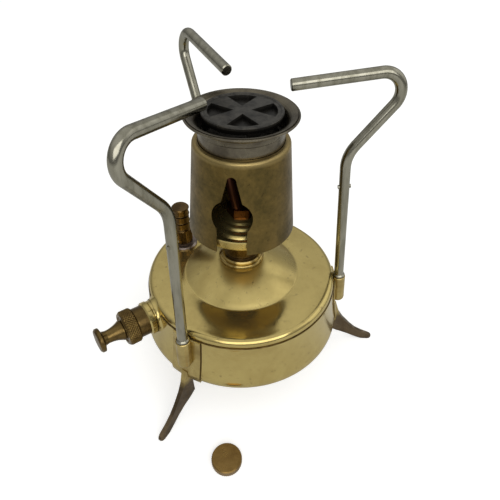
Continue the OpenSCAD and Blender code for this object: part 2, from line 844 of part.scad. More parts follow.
// The head: mixing tube, vapour ring, bell, the flange under the shroud and the collar in the flame ring
module burner_head() {
    mixing_r = 4.4;
    chamber_r = tube_top_reach;
    color(burnt_iron)
        difference() {
            rotate_extrude()
                polygon([
                    [mixing_r, head_foot - 8], [mixing_r + 1.2, head_foot - 8], [mixing_r + 1.2, head_foot - 2],
                    [chamber_r - 4.6, head_foot], [chamber_r + 3.6, head_foot], [chamber_r + 4.2, head_foot + 0.6],
                    [chamber_r + 4.2, flange_top - 3.4], [flange_r - 1, flange_top - 1.4], [flange_r, flange_top - 1.2],
                    [flange_r, flange_top], [collar_r, flange_top], [collar_r, collar_top], [collar_r - 1.6, collar_top],
                    [collar_r - 1.6, flange_top + 0.3], [collar_r - 3.4, flange_top - 1.9], [mixing_r + 3.4, flange_top - 3],
                    [mixing_r + 0.8, flange_top - 3.8], [mixing_r, flange_top - 5]
                ]);
            // ring-shaped vapour chamber, with four ports down to the tubes
            translate([0, 0, head_foot + 1.4])
                rotate_extrude() translate([chamber_r - 2.2, 0]) square([4.4, 2.8]);
            for (side = [0, 180])
                rotate([0, 0, tube_azimuth + side])
                    translate([chamber_r, 0, head_foot - 1]) cylinder(r = tube_bore, h = 3);
            for (side = [90, 270])
                rotate([0, 0, tube_azimuth + side])
                    translate([chamber_r, 0, head_foot - 1]) cylinder(r = return_bore, h = 3);
        }
}

// ---------- shroud, flame ring and spreader ----------

function shroud_outline(inset) = concat(
    [[shroud_foot - inset, shroud_foot_z - (inset > 0 ? 1 : 0)]],
    arc(shroud_top - crown_round, shroud_crown - crown_round, crown_round - inset, 0, 90, 7)
);

// Keyhole window: a round eye, a tapering tongue above it and an open slot below
module window_outline() {
    tongue_tip = 2.4;
    eye_z = window_height;
    tongue_spread = atan((window_radius * 0.5 - tongue_tip) / (window_top - eye_z - window_radius));
    union() {
        translate([0, eye_z]) circle(r = window_radius);
        translate([-slot_width / 2, -1]) square([slot_width, eye_z]);
        translate([0, window_top - tongue_tip]) circle(r = tongue_tip);
        polygon([
            [-window_radius * 0.52, eye_z + window_radius * 0.8], [window_radius * 0.52, eye_z + window_radius * 0.8],
            [tongue_tip * cos(tongue_spread), window_top - tongue_tip], [-tongue_tip * cos(tongue_spread), window_top - tongue_tip]
        ]);
    }
}

module shroud() {
    color(shroud_brass)
        difference() {
            rotate_extrude()
                difference() {
                    polygon(concat(shroud_outline(0), [[0, shroud_crown], [0, shroud_foot_z]]));
                    polygon(concat(shroud_outline(thin_sheet), [[0, shroud_crown - thin_sheet], [0, shroud_foot_z - 1]]));
                    translate([0, shroud_crown - 2]) square([crown_hole, 4]);
                }
            translate([0, 0, shroud_foot_z])
                rotate([0, 0, window_azimuth - 90])
                    rotate([90, 0, 180])
                        linear_extrude(2 * shroud_foot) window_outline();
        }
}

flare_z = ring_foot + ring_height * 0.5;
flare_out = lip_radius - ring_radius - 1;

// Trumpet flare of the flame ring: a quarter of an ellipse
function ring_flare(out) =
    [for (t = [0:11.25:90])
        [ring_radius + 0.4 + out + flare_out * (1 - cos(t)), flare_z + (ring_top - flare_z - 0.6 - out) * sin(t)]];

module flame_ring() {
    bead = 0.6;
    color(plated_steel)
        rotate_extrude()
            polygon(concat(
                [[ring_radius - ring_sheet, ring_foot], [ring_radius, ring_foot], [ring_radius, flare_z - 0.5]],
                ring_flare(0),
                arc(lip_radius - bead, ring_top - bead, bead, -90, 180, 7),
                [for (i = [8:-1:0]) ring_flare(-ring_sheet)[i]]
            ));
}

spreader_z = collar_top + rest_gap;
spreader_top = ring_top + 1.3;
spreader_thick = 4;
rim_proud = 0.35;

// Cast plate with a low rim and four sunk pockets that leave a four-armed star
module flame_spreader() {
    floor_z = spreader_top - rim_proud;
    lug_width = 6;
    pocket_reach = spreader_radius * 0.84;
    pocket_half = 26;
    pocket_depth = 2.2;
    pocket_tip = 4.2;
    color(burnt_iron)
        translate([spreader_shift, 0, 0])
            difference() {
                union() {
                    rotate_extrude()
                        polygon([
                            [0, floor_z - spreader_thick + 0.4], [spreader_radius - 6, floor_z - spreader_thick - 0.6],
                            [spreader_radius - 0.8, floor_z - spreader_thick + 0.8], [spreader_radius, floor_z - 1],
                            [spreader_radius, spreader_top - 0.4], [spreader_radius - 0.4, spreader_top],
                            [spreader_radius - 1.3, spreader_top], [spreader_radius - 1.7, floor_z], [0, floor_z]
                        ]);
                    for (side = [45, 165, 285])
                        rotate([0, 0, side])
                            translate([spreader_radius - 1.7, -lug_width / 2, spreader_z])
                                cube([1.4, lug_width, floor_z - spreader_thick + 1.5 - spreader_z]);
                }
                for (side = [-90, 0, 90, 180])
                    rotate([0, 0, side])
                        translate([0, 0, floor_z - pocket_depth])
                            linear_extrude(pocket_depth + 1)
                                polygon([
                                    [pocket_tip, 0], [pocket_reach * cos(pocket_half), -pocket_reach * sin(pocket_half)],
                                    [pocket_reach * 0.985, -pocket_reach * 0.22], [pocket_reach * 1.01, 0],
                                    [pocket_reach * 0.985, pocket_reach * 0.22], [pocket_reach * cos(pocket_half), pocket_reach * sin(pocket_half)]
                                ]);
            }
}

// ---------- brackets, legs and pot supports ----------

socket_fit = 0.1;
socket_wall = 1.1;
socket_outer = rod_radius + socket_fit + socket_wall;
socket_mouth = seam + 0.7;
socket_length = 19.6;
socket_bottom = socket_mouth - socket_depth;
socket_reach = wall_r(socket_bottom) + rod_radius + 0.25 - socket_depth * sin(socket_lean);
// the rod's upright part brings its tip to the wanted height over the flame ring
tip_rise = ring_top + pot_gap + rod_radius - socket_mouth;
rod_upright = (tip_rise + rod_inward * sin(socket_lean)) / cos(socket_lean) - rod_rise + rod_drop;

// Frame of a rod in its socket: Z runs up the rod from the socket's mouth, X points outwards
module in_socket(i) {
    rotate([0, 0, bracket_azimuths[i]])
        translate([socket_reach, 0, socket_mouth])
            rotate([-socket_tilts[i], -socket_lean, 0])
                children();
}

// Stations along the leg: reach, height of its lower edges, height of its ridge, half width at its lower edges
function leg_stations() = let (r = foot_r, reach = leg_reach - foot_r, z = floor_gap, w = leg_width / 2, t = leg_tip_width / 2) [
    [r - 2.2, z * 0.5, z + 8.6, w + 1.4], [r + 1.2, z * 0.45, z + 8.6, w + 1.4], [r + 2.6, z * 0.41, z + 4.4, w + 1.2],
    [r + reach * 0.14, z * 0.36, z * 0.99, w + 0.8], [r + reach * 0.25, z * 0.29, z * 0.79, w + 0.3],
    [r + reach * 0.44, z * 0.175, z * 0.53, w], [r + reach * 0.58, z * 0.085, z * 0.365, w],
    [r + reach * 0.76, 0, z * 0.225, t - 0.1], [r + reach * 0.92, 0, z * 0.135, t],
    [leg_reach - 0.9, 0, z * 0.11, t * 0.8], [leg_reach, 0.5, z * 0.075, t * 0.4]
];

// A folded strip set on the stations: narrower along its ridge, open or shut underneath
module folded_strip(stations, inset, ridge_share, drop) {
    last = len(stations) - 1;
    points = [
        for (s = stations) let (foot = s[3] - inset, ridge = foot * ridge_share)
            each [[s[0], -foot, s[1]], [s[0], foot, s[1]], [s[0], ridge, s[2] - drop], [s[0], -ridge, s[2] - drop]]
    ];
    faces = concat(
        [[0, 1, 2, 3]],
        [for (i = [0:last - 1]) for (j = [0:3]) let (k = (j + 1) % 4, a = 4 * i, b = 4 * i + 4)
            each [[a + j, b + j, b + k], [a + j, b + k, a + k]]],
        [[4 * last + 3, 4 * last + 2, 4 * last + 1, 4 * last]]
    );
    polyhedron(points = points, faces = faces, convexity = 4);
}

module leg() {
    toe = 8;
    difference() {
        folded_strip(leg_stations(), 0, 0.62, 0);
        // the fold is open underneath, up to a solid toe
        intersection() {
            translate([0, 0, -0.01]) folded_strip(leg_stations(), plate_sheet, 0.6, plate_sheet * 1.5);
            translate([0, -20, -5]) cube([leg_reach - toe, 40, tank_top]);
        }
    }
}

module socket_body() {
    flat = 1.5;
    round_r = socket_outer - flat;
    rotate_extrude()
        polygon(concat(
            [[0, -socket_length]],
            arc(flat, -socket_length + round_r, round_r, -90, 0, 6),
            [[socket_outer, -0.3], [socket_outer - 0.3, 0], [0, 0]]
        ));
}

module bracket(i) {
    half_angle = asin(plate_width / 2 / foot_r);
    color(aged_brass)
        difference() {
            union() {
                rotate([0, 0, bracket_azimuths[i]]) {
                    rotate([0, 0, -half_angle])
                        rotate_extrude(angle = 2 * half_angle)
                            polygon(concat(
                                [[wall_top_r - 1, seam], [foot_r - 3, floor_gap + foot_round - 4]],
                                arc(foot_r - foot_round, floor_gap + foot_round, foot_round + plate_sheet, -34, 0, 3),
                                [for (k = [wall_steps:-1:0]) wall_line(plate_sheet)[k]]
                            ));
                    leg();
                }
                in_socket(i) socket_body();
            }
            in_socket(i) {
                translate([0, 0, -socket_depth - 0.3]) cylinder(r = rod_radius + socket_fit, h = socket_depth + 2);
                translate([0, 0, -0.5]) cylinder(r1 = rod_radius + socket_fit, r2 = rod_radius + socket_fit + 0.5, h = 0.52);
            }
            rotate([0, 0, bracket_azimuths[i] + 180]) tank_envelope(solder_gap);
        }
}

// Centre of a bend between two straight runs, and the length it takes off each
function bend_cut(turn, r) = r * tan(turn / 2);

// A bent rod in the X-Z plane: upright, slope outwards, long bend, nearly level arm inwards
module pot_rod(i) {
    slope = atan2(rod_outward, rod_rise);
    arm = atan2(rod_drop, rod_outward + rod_inward);
    upper_turn = slope + 90 + arm;
    lower_cut = bend_cut(slope, lower_bend);
    upper_cut = bend_cut(upper_turn, upper_bend);
    slope_length = norm([rod_outward, rod_rise]);
    arm_length = norm([rod_outward + rod_inward, rod_drop]);
    crimp_height = 64;
    crimp_proud = 0.6;
    crimp_radius = 1.1;
    stop_proud = 0.75;
    stop_height = 1.9;
    // the bends are a hair thicker than the straight runs that end inside them
    bend_section = rod_radius + 0.02;
    lap = 0.3;
    color(plated_steel)
        in_socket(i)
            rotate([0, 0, rod_swivels[i]]) {
                translate([0, 0, 0.6 - socket_depth]) cylinder(r = rod_radius, h = rod_upright - lower_cut + socket_depth - 0.6 + lap);
                translate([0, 0, -socket_depth]) cylinder(r1 = rod_radius - 0.6, r2 = rod_radius, h = 0.6);
                // stop ring that rests over the socket's mouth
                translate([0, 0, rest_gap])
                    rotate_extrude()
                        polygon([
                            [0, 0], [rod_radius + stop_proud - 0.4, 0], [rod_radius + stop_proud, 0.4],
                            [rod_radius + stop_proud, stop_height - 0.7], [rod_radius + 0.1, stop_height], [0, stop_height]
                        ]);
                // ears pinched out of the rod
                translate([0, 0, crimp_height])
                    rotate([0, 90, 0])
                        cylinder(r = crimp_radius, h = 2 * (rod_radius + crimp_proud), center = true);
                translate([0, 0, rod_upright - lower_cut])
                    translate([lower_bend, 0, 0])
                        rotate([90, 0, 0])
                            rotate([0, 0, 180 - slope])
                                rotate_extrude(angle = slope) translate([lower_bend, 0]) circle(r = bend_section);
                translate([0, 0, rod_upright])
                    rotate([0, slope, 0]) {
                        translate([0, 0, lower_cut - lap])
                            cylinder(r = rod_radius, h = slope_length - lower_cut - upper_cut + 2 * lap);
                        translate([-upper_bend, 0, slope_length - upper_cut])
                            rotate([90, 0, 0])
                                rotate_extrude(angle = upper_turn) translate([upper_bend, 0]) circle(r = bend_section);
                    }
                translate([rod_outward, 0, rod_upright + rod_rise])
                    rotate([0, -90 - arm, 0])
                        translate([0, 0, upper_cut]) {
                            translate([0, 0, -lap]) cylinder(r = rod_radius, h = arm_length - upper_cut - 0.5 + lap);
                            translate([0, 0, arm_length - upper_cut - 0.5]) cylinder(r1 = rod_radius, r2 = rod_radius - 0.5, h = 0.5);
                        }
            }
}

// ---------- travel cap ----------

module travel_cap() {
    crown = 1.4;
    color(aged_brass)
        translate([travel_place[0], travel_place[1], 0])
            difference() {
                knurled(travel_radius, 0.3, 48, 0, travel_height, 0.45, 0.7);
                translate([0, 0, -1]) cylinder(r = travel_radius - 1.3, h = travel_height - crown + 1);
            }
}

module travel_washer() {
    thick = 0.9;
    color(leather)
        translate([travel_place[0], travel_place[1], travel_height - 1.4 - thick - 0.02])
            cylinder(r = travel_radius - 1.3 - solder_gap, h = thick);
}

tank_lid();
tank_base();
riser_boss();
feed_tube();
filler_boss();
pump_boss();
pump_barrel();
valve_body();
valve_pellet();
valve_disc();
valve_spring();
bracket(0);  // bracket_left
bracket(1);  // bracket_right
bracket(2);  // bracket_back
filler_washer();
filler_cap();
air_screw();
pump_cap();
pump_knob();
pump_rod();
piston_washer();
piston_leather();
piston_nut();
burner_washer();
burner_stem();
spirit_cup();
burner_block();
rising_tubes();
return_tubes();
nipple_holder();
jet_nipple();
burner_head();
shroud();
flame_ring();
flame_spreader();
pot_rod(0);  // pot_rod_left
pot_rod(1);  // pot_rod_right
pot_rod(2);  // pot_rod_back
travel_cap();
travel_washer();
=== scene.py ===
"""Brass pressure stove: looks, finer forms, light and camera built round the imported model.

Forms are written in millimetres in the row frame and become metres in piece().
"""
import json
import math

import bmesh
import bpy
from mathutils import Matrix, Vector, noise


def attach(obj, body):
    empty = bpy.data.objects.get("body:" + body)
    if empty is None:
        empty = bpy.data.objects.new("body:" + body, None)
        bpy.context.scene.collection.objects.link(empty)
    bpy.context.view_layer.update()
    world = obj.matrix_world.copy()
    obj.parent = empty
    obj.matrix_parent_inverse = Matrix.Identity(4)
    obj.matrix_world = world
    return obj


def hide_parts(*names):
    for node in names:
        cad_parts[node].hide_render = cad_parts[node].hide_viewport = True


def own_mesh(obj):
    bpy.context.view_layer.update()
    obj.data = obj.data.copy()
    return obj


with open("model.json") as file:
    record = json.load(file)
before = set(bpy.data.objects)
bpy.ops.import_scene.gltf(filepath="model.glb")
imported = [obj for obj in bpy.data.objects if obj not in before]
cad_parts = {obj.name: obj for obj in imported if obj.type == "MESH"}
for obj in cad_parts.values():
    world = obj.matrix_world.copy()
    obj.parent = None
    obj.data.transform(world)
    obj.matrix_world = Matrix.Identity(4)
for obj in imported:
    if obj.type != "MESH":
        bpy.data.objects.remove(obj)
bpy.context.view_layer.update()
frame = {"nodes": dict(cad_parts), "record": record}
MM = 0.001
WHITE = (1, 1, 1, 1)


# ---------- node helpers ----------

class Tree:
    """Short calls for building the nodes of a material or of the world."""

    def __init__(self, owner, output):
        owner.use_nodes = True
        self.owner = owner
        self.nt = owner.node_tree
        self.nt.nodes.clear()
        self.out = self.node(output)
        coord = self.node("ShaderNodeTexCoord")
        self.obj = coord.outputs["Object"]
        self.generated = coord.outputs["Generated"]

    def node(self, kind, **props):
        n = self.nt.nodes.new(kind)
        for key, value in props.items():
            setattr(n, key, value)
        return n

    def link(self, a, b):
        self.nt.links.new(a, b)

    def feed(self, socket, value):
        """A socket is linked; a number or colour is set."""
        if isinstance(value, bpy.types.NodeSocket):
            self.link(value, socket)
        else:
            socket.default_value = value

    def calc(self, op, a, b=None):
        n = self.node("ShaderNodeMath", operation=op)
        self.feed(n.inputs[0], a)
        if b is not None:
            self.feed(n.inputs[1], b)
        return n.outputs[0]

    def add(self, a, b):
        return self.calc("ADD", a, b)

    def times(self, a, b):
        return self.calc("MULTIPLY", a, b)

    def mapping(self, vec, scale, rot=(0, 0, 0)):
        n = self.node("ShaderNodeMapping")
        self.link(vec, n.inputs["Vector"])
        n.inputs["Scale"].default_value = scale
        n.inputs["Rotation"].default_value = rot
        return n.outputs[0]

    def noise(self, vec, scale, detail, rough, distort=0.0):
        n = self.node("ShaderNodeTexNoise")
        self.link(vec, n.inputs["Vector"])
        n.inputs["Scale"].default_value = scale
        n.inputs["Detail"].default_value = detail
        n.inputs["Roughness"].default_value = rough
        n.inputs["Distortion"].default_value = distort
        return n.outputs[0]

    def mix(self, fac, a, b):
        n = self.node("ShaderNodeMix", data_type="RGBA")
        self.feed(n.inputs[0], fac)
        for socket, color in ((n.inputs[6], a), (n.inputs[7], b)):
            self.feed(socket, (*color, 1) if isinstance(color, tuple) else color)
        return n.outputs[2]

    def range(self, fac, from_low, from_high, to_low, to_high):
        n = self.node("ShaderNodeMapRange")
        self.link(fac, n.inputs[0])
        for i, value in enumerate((from_low, from_high, to_low, to_high)):
            n.inputs[i + 1].default_value = value
        return n.outputs[0]

    def xyz(self, vec):
        n = self.node("ShaderNodeSeparateXYZ")
        self.link(vec, n.inputs[0])
        return n.outputs

    def bump(self, height, strength, distance, normal=None):
        n = self.node("ShaderNodeBump")
        n.inputs["Strength"].default_value = strength
        n.inputs["Distance"].default_value = distance
        self.link(height, n.inputs["Height"])
        if normal is not None:
            self.link(normal, n.inputs["Normal"])
        return n.outputs[0]

    def camera_ray(self):
        return self.node("ShaderNodeLightPath").outputs["Is Camera Ray"]

    def shader(self, color, metallic, rough, normal):
        n = self.node("ShaderNodeBsdfPrincipled")
        self.link(color, n.inputs["Base Color"])
        n.inputs["Metallic"].default_value = metallic
        self.link(rough, n.inputs["Roughness"])
        self.link(normal, n.inputs["Normal"])
        self.link(n.outputs[0], self.out.inputs[0])
        return self.owner


def material_tree(name):
    return Tree(bpy.data.materials.new(name), "ShaderNodeOutputMaterial")


# ---------- materials ----------

PATCH_SHARE, GRAIN_SHARE = 0.72, 0.28
PATCH_ROUGHNESS = 0.62
HAIRLINE, STREAK_DEPTH, PATCH_DEPTH = 0.00001, 0.00003, 0.0002
SHARP_EDGE = 0.0006
# paler brass for a painted highlight on the top of a piece
HIGHLIGHT_BRASS = (0.46, 0.35, 0.15)
# black that a piece goes over to below a given height
LOW_BLACK = (0.008, 0.007, 0.006)


def axis_radius(t):
    """Distance from the tank's axis, as a socket."""
    x, y, _ = t.xyz(t.obj)
    return t.calc("SQRT", t.add(t.times(x, x), t.times(y, y)))


def brass(name, bright, dull, rough, tarnish, scale, rings=0.0, scratch=0.25,
          specks=None, metallic=1.0, matt=None, worn=None):
    """Aged brass: clean metal, browner tarnish in patches, fine scratches and, on turned pieces, lathe rings.

    rough and tarnish are pairs, low and high. rings is the strength of the lathe rings. specks is a colour
    and a strength. matt is the radius of a duller cone and its added roughness, on a piece with rings.
    worn is the height, from and to, above which paler brass is mixed in as a painted highlight.
    """
    t = material_tree(name)
    patches = t.noise(t.obj, scale, 6, PATCH_ROUGHNESS, 0.6)
    grain = t.noise(t.obj, scale * 9, 4, 0.6)
    both = t.add(t.times(patches, PATCH_SHARE), t.times(grain, GRAIN_SHARE))
    color = t.mix(t.range(both, *tarnish, 0, 1), bright, dull)
    if specks:
        speck_color, strength = specks
        speck = t.range(t.noise(t.obj, scale * 14, 3, 0.5), 0.64, 0.74, 0, strength)
        color = t.mix(speck, color, speck_color)
    roughness = t.range(both, 0.35, 0.68, *rough)
    hair = t.noise(t.mapping(t.obj, (1, 1, 14)), 900, 2, 0.5)
    cross = t.noise(t.mapping(t.obj, (14, 1, 1), (0.4, 0.3, 0.8)), 700, 2, 0.5)
    normal = t.bump(t.add(hair, cross), scratch, HAIRLINE)
    normal = t.bump(patches, 0.35, PATCH_DEPTH, normal)
    if rings:
        radius = axis_radius(t)
        turned = t.node("ShaderNodeCombineXYZ")
        t.link(radius, turned.inputs[0])
        t.link(t.xyz(t.obj)[2], turned.inputs[1])
        normal = t.bump(t.noise(turned.outputs[0], 2200, 2, 0.5), rings, HAIRLINE, normal)
    if rings and matt:
        edge, added = matt
        inner = t.range(radius, edge - SHARP_EDGE, edge + SHARP_EDGE, 1, 0)
        roughness = t.add(roughness, t.times(inner, added))
    # painted highlight: paler brass mixed in above the given height
    if worn:
        color = t.mix(t.range(t.xyz(t.obj)[2], *worn, 0, 0.75), color, HIGHLIGHT_BRASS)
    return t.shader(color, metallic, roughness, normal)


def metal(name, light, dark, rough=(0.25, 0.45), scale=120, scratch=0.3, metallic=1.0,
          band=(0.38, 0.68), streak=(1, 1, 0.08), black_below=None):
    """Worn metal or a dull stuff: two tones in patches and fine marks along one direction.

    band is where in the noise the tones change over, streak stretches the patches, and black_below is the
    height, from and to, below which the metal goes over to black.
    """
    t = material_tree(name)
    patches = t.noise(t.mapping(t.obj, streak), scale, 6, 0.65, 0.3)
    color = t.mix(t.range(patches, *band, 0, 1), light, dark)
    marks = t.noise(t.mapping(t.obj, (1, 1, 0.08)), 1800, 3, 0.6)
    height = t.add(t.times(marks, 0.5), patches)
    # darker towards the bottom: black below the given height
    if black_below:
        color = t.mix(t.range(t.xyz(t.obj)[2], *black_below, 0.75, 0), color, LOW_BLACK)
    roughness = t.range(patches, 0.35, 0.7, *rough)
    return t.shader(color, metallic, roughness, t.bump(height, scratch, STREAK_DEPTH))


def bracket_material():
    """Brass like the tank's on the plate and socket, going over to dark bronze on the leg below."""
    t = material_tree("bracket_brass")
    patches = t.noise(t.obj, 60, 6, PATCH_ROUGHNESS, 0.5)
    level = t.add(t.xyz(t.obj)[2], t.times(t.calc("SUBTRACT", patches, 0.5), 0.008))
    plate = t.mix(t.range(patches, 0.42, 0.68, 0, 1), (0.54, 0.425, 0.17), (0.36, 0.265, 0.1))
    leg = t.mix(t.range(patches, 0.4, 0.65, 0, 1), (0.17, 0.125, 0.075), (0.085, 0.06, 0.036))
    color = t.mix(t.range(level, 0.0235, 0.0285, 0, 1), leg, plate)
    marks = t.noise(t.mapping(t.obj, (1, 1, 0.1)), 1500, 3, 0.6)
    return t.shader(color, 1.0, t.range(patches, 0.35, 0.7, 0.22, 0.42), t.bump(marks, 0.3, STREAK_DEPTH))


MAT = {
    "polished_brass": brass(
        "polished_brass", (0.58, 0.46, 0.175), (0.44, 0.33, 0.115), (0.1, 0.2), (0.45, 0.75), 26,
        rings=0.3, scratch=0.3, specks=((0.2, 0.14, 0.07), 0.5), metallic=0.94, matt=(0.0352, 0.15)),
    "aged_brass": brass(
        "aged_brass", (0.21, 0.14, 0.046), (0.085, 0.052, 0.02), (0.2, 0.42), (0.35, 0.65), 90),
    # the shroud's crown gets a painted highlight of paler brass
    "shroud_brass": brass(
        "shroud_brass", (0.19, 0.13, 0.04), (0.1, 0.074, 0.025), (0.32, 0.5), (0.42, 0.62), 55,
        scratch=0.4, specks=((0.05, 0.033, 0.014), 0.6), worn=(0.1515, 0.1545)),
    "tinned": metal("tinned", (0.3, 0.25, 0.22), (0.13, 0.1, 0.085), (0.3, 0.5), 150),
    "dark_steel": metal("dark_steel", (0.2, 0.19, 0.17), (0.1, 0.09, 0.08)),
    "burnt_iron": metal(
        "burnt_iron", (0.07, 0.064, 0.055), (0.026, 0.024, 0.022), (0.34, 0.55), 190,
        scratch=0.8, metallic=0.7),
    "plated_steel": metal(
        "plated_steel", (0.34, 0.325, 0.26), (0.2, 0.19, 0.14), (0.14, 0.28), 260,
        scratch=0.25, band=(0.42, 0.7), streak=(1, 1, 0.15)),
    "leather": metal("leather", (0.09, 0.055, 0.03), (0.05, 0.03, 0.018), (0.5, 0.7), 200, metallic=0.0),
    "rubber": metal("rubber", (0.03, 0.03, 0.03), (0.02, 0.02, 0.02), (0.5, 0.7), 200, metallic=0.0),
}

# Nodes that look different from the rest of their slot
OWN = {
    "riser_boss": brass(
        "boss_brass", (0.4, 0.29, 0.1), (0.24, 0.165, 0.055), (0.12, 0.24), (0.4, 0.7), 60),
    # the spreader goes over to black below a height
    "flame_spreader": metal(
        "cast_plate", (0.075, 0.069, 0.058), (0.026, 0.025, 0.023), (0.3, 0.5), 230,
        scratch=1.0, metallic=0.75, streak=(1, 1, 0.3), black_below=(0.1674, 0.1691)),
    "filler_cap": brass(
        "filler_brass", (0.17, 0.105, 0.036), (0.075, 0.045, 0.017), (0.22, 0.42), (0.35, 0.62), 110),
    "bracket_left": bracket_material(),
    "burner_stem": brass(
        "stem_brass", (0.13, 0.08, 0.024), (0.05, 0.028, 0.01), (0.2, 0.4), (0.35, 0.65), 90),
    "burner_washer": metal("soft_washer", (0.12, 0.09, 0.06), (0.05, 0.035, 0.025), (0.35, 0.5), 150),
    "burner_block": brass(
        "block_brass", (0.2, 0.085, 0.03), (0.09, 0.036, 0.015), (0.25, 0.45), (0.35, 0.65), 120),
    "rising_tubes": metal(
        "tube_brown", (0.11, 0.035, 0.018), (0.05, 0.018, 0.01), scale=160, scratch=0.4, metallic=0.8),
    "flame_ring": metal(
        "ring_steel", (0.165, 0.145, 0.105), (0.105, 0.09, 0.068), (0.24, 0.4),
        scratch=0.35, band=(0.4, 0.66), streak=(1, 1, 1)),
    "travel_cap": brass(
        "travel_brass", (0.34, 0.215, 0.07), (0.19, 0.115, 0.038), (0.25, 0.4), (0.4, 0.7), 160),
}
OWN["bracket_right"] = OWN["bracket_back"] = OWN["bracket_left"]
OWN["air_screw"] = OWN["filler_cap"]
OWN["return_tubes"] = OWN["rising_tubes"]
# solder coloured dark: painted shade in the step under the rim and in the gaps beside the brackets' plates
SOLDER_SHADE = metal("solder_shade", (0.16, 0.11, 0.044), (0.075, 0.05, 0.02), (0.3, 0.5), 200)

slots = {part["node"]: part["material_slot"] for part in frame["record"]["subparts"]}
for node, ob in frame["nodes"].items():
    ob.data.materials.clear()
    ob.data.materials.append(OWN.get(node, MAT[slots[node]]))


# ---------- helpers for forms ----------

def arc(x, y, r, start, end, steps):
    """Points on an arc, with angles in degrees."""
    angles = [math.radians(start + (end - start) * i / steps) for i in range(steps + 1)]
    return [(x + r * math.cos(a), y + r * math.sin(a)) for a in angles]


def fine(profile, step=1.2):
    """The same outline with points about a step apart on its longer stretches."""
    out = [profile[0]]
    for p, q in zip(profile, profile[1:]):
        n = max(1, int(math.dist(p, q) / step))
        out += [(p[0] + (q[0] - p[0]) * i / n, p[1] + (q[1] - p[1]) * i / n) for i in range(1, n + 1)]
    return out


def sweep_rings(rings, closed=False):
    """Vertices and faces between rings of equal length; closed joins the last ring to the first."""
    n = len(rings[0])
    verts = [p for ring in rings for p in ring]
    faces = []
    for j in range(len(rings) if closed else len(rings) - 1):
        k = (j + 1) % len(rings)
        for i in range(n):
            h = (i + 1) % n
            faces.append((j * n + i, j * n + h, k * n + h, k * n + i))
    return verts, faces


def lathe(profile, segs, bend=None):
    """The outline turned round the z axis; bend moves a point, given its radius, height and angle."""
    rings = []
    for r, z in profile:
        ring = []
        for i in range(segs):
            a = 2 * math.pi * i / segs
            rr, zz = bend(r, z, a) if bend else (r, z)
            ring.append((rr * math.cos(a), rr * math.sin(a), zz))
        rings.append(ring)
    return sweep_rings(rings)


def tube(points, radius, steps=8):
    """A round bar along a line of points, with flat ends."""
    off_axis = Vector((0.31, 0.17, 0.93))
    pts = [Vector(p) for p in points]
    angles = [2 * math.pi * k / steps for k in range(steps)]
    rings = []
    for i, p in enumerate(pts):
        along = (pts[min(i + 1, len(pts) - 1)] - pts[max(i - 1, 0)]).normalized()
        side = along.cross(off_axis).normalized()
        other = along.cross(side)
        rings.append([p + (side * math.cos(a) + other * math.sin(a)) * radius for a in angles])
    verts, faces = sweep_rings(rings)
    n = len(verts)
    return verts, faces + [tuple(range(steps))[::-1], tuple(range(n - steps, n))]


def piece(name, form, body, slot, nodes=(), sharp=38, matrix=None, material=None):
    """A form in millimetres becomes a piece that rides on a body and replaces the nodes named."""
    verts, faces = form
    me = bpy.data.meshes.new(name)
    me.from_pydata([Vector(v) * MM for v in verts], [], faces)
    if matrix:
        me.transform(matrix)
    bm = bmesh.new()
    bm.from_mesh(me)
    bmesh.ops.remove_doubles(bm, verts=bm.verts, dist=1e-7)
    bmesh.ops.recalc_face_normals(bm, faces=bm.faces)
    bm.to_mesh(me)
    bm.free()
    me.shade_smooth()
    me.set_sharp_from_angle(angle=math.radians(sharp))
    ob = bpy.data.objects.new(name, me)
    bpy.context.collection.objects.link(ob)
    me.materials.append(material or MAT[slot])
    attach(ob, body)
    if nodes:
        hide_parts(*nodes)


# ---------- tank: two pressings, and their solder coloured dark as painted shade ---

TANK_TOP, SEAM, CONE_TOP = 65.3, 60.5, 75.9
RIM, RIM_ROUND, WALL_TOP = 57.4, 3.5, 58.0
FLOOR_GAP, FOOT_ROUND, DISH = 26.0, 5.0, 2.5
FLARE_FOOT = FLOOR_GAP + FOOT_ROUND + 2
FLARE = SEAM - FLARE_FOOT
FLARE_OUT = 4.8 - (WALL_TOP - RIM)
SLOPE = 0.05
CURVE = (FLARE_OUT - SLOPE * FLARE) / FLARE ** 2
TANK_SEGMENTS = 288


def wall_r(z):
    """The wall's radius, which flares towards the foot."""
    return WALL_TOP + SLOPE * (SEAM - z) + CURVE * (SEAM - z) ** 2


def wobble(amount, scale, seed):
    """Small hand-worked unevenness of pressed sheet; outside the cone the radius wavers too."""
    flat_from, radial_share = 40, 0.6

    def bend(r, z, a):
        p = Vector((r * math.cos(a), r * math.sin(a), z)) / scale + Vector((seed, 0, 0))
        d = noise.noise(p) * amount
        return (r + d * radial_share if r > flat_from else r, z + d)
    return bend


def lid():
    """A cone with a bulging flank, a flat that is crowned a little, a rounded rim, an edge turned in."""
    plateau, cone_r, bulge, steps = 14.1, 34.8, 0.9, 12
    cone_foot = ((34.2, 0.32), (34.7, 0.1), (35.4, 0))
    crown = (
        (37, 0.1), (39, 0.19), (41.5, 0.24), (44, 0.22), (46.5, 0.15), (49, 0.05), (51.5, -0.06), (53, -0.1),
    )
    turned_in = ((0, 0.55), (0.12, 0.25), (0.5, 0.05), (1.5, 0))
    outline = [(13.0, CONE_TOP)]
    for t in (i / steps for i in range(steps)):
        fall = (CONE_TOP - TANK_TOP) * t
        outline.append((plateau + (cone_r - plateau) * t, CONE_TOP - fall + 4 * bulge * t * (1 - t)))
    outline += [(r, TANK_TOP + up) for r, up in cone_foot + crown]
    outline += arc(RIM - RIM_ROUND, TANK_TOP - 3.6, RIM_ROUND, 87, 4, 14)
    outline += [(RIM - inward, SEAM + up) for inward, up in turned_in]
    return lathe(fine(outline), TANK_SEGMENTS, wobble(0.05, 16, 3))


